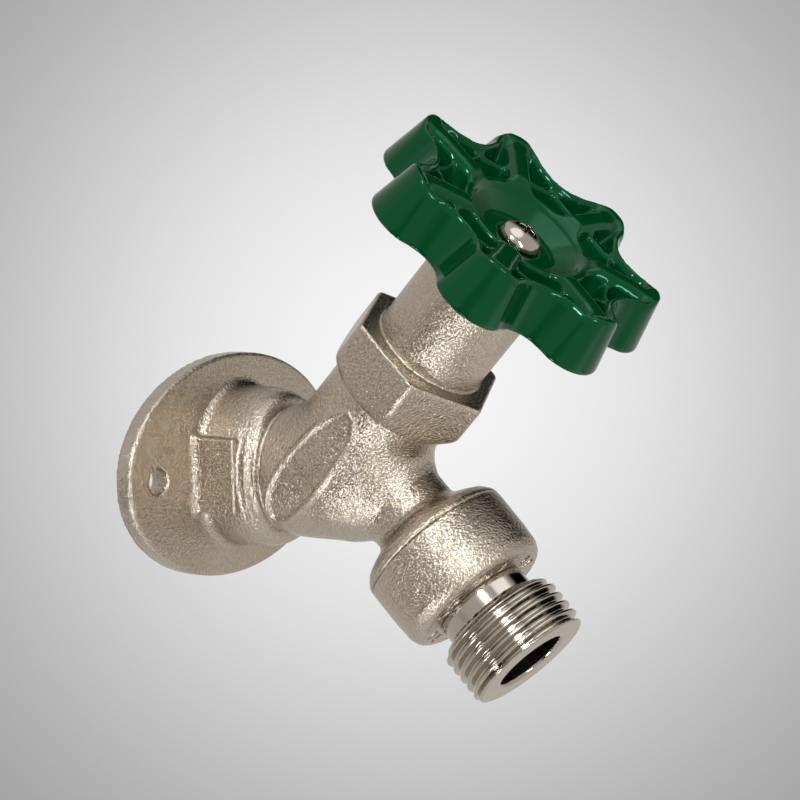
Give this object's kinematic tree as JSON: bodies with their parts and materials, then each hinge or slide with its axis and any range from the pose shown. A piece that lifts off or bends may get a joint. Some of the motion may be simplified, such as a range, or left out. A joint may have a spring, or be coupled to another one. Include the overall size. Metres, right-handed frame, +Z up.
{
  "type": "sillcock",
  "caption": "Wall sillcock with an oval flange, a Y body, a hex bonnet, a lobed green handwheel and a vacuum breaker over the hose outlet.",
  "frame": {"origin": "centre of the inlet at the wall face of the flange", "axes": "Y runs into the wall along the inlet axis, Z is up, X runs along the flange; the body points toward -Y"},
  "size_m": [0.0724, 0.1013, 0.1197],
  "materials": {
    "cast_nickel": "rough cast satin nickel over brass",
    "polished_nickel": "machined and nickel plated",
    "green_enamel": "gloss green enamel over die-cast metal",
    "brass": "machined",
    "rubber": "matte",
    "graphite": "pressed graphite packing",
    "steel": "bright stainless",
    "acetal": "moulded"
  },
  "bodies": {
    "housing": {"valve_body": "cast_nickel", "valve_seat": "brass", "bonnet_gasket": "rubber", "bonnet": "cast_nickel", "packing_washer": "brass", "packing_ring": "graphite", "packing_follower": "brass", "gland_nut": "brass", "breaker_cap": "cast_nickel", "breaker_seal": "rubber", "breaker_seat": "brass", "poppet_spring": "steel", "poppet_guide": "acetal", "hose_nozzle": "polished_nickel"},
    "washer_carrier": {"washer_holder": "brass", "bibb_washer": "rubber", "bibb_screw": "brass", "holder_clip": "steel"},
    "turning": {"stem": "brass", "handle": "green_enamel", "handle_screw": "polished_nickel"},
    "breaker": {"poppet": "acetal", "poppet_diaphragm": "rubber"}
  },
  "joints": [
    {"name": "stem_rise", "type": "slide", "parent": "housing", "child": "washer_carrier", "axis": [0, -0.682, 0.7314], "range_m": [0, 0.006]},
    {"name": "handle_turn", "type": "hinge", "parent": "washer_carrier", "child": "turning", "pos_m": [0, -0.0349, 0.0061], "axis": [0, -0.682, 0.7314], "range_deg": [0, 1080]},
    {"name": "poppet_slide", "type": "slide", "parent": "housing", "child": "breaker", "axis": [0, -0.7071, -0.7071], "range_m": [0, 0.0025], "stiffness_N_per_m": 100, "deforming": ["poppet_spring"]}
  ],
  "couplings": [
    {"joint": "stem_rise", "follows": "handle_turn", "m_per_rad": 0.00031831}
  ]
}
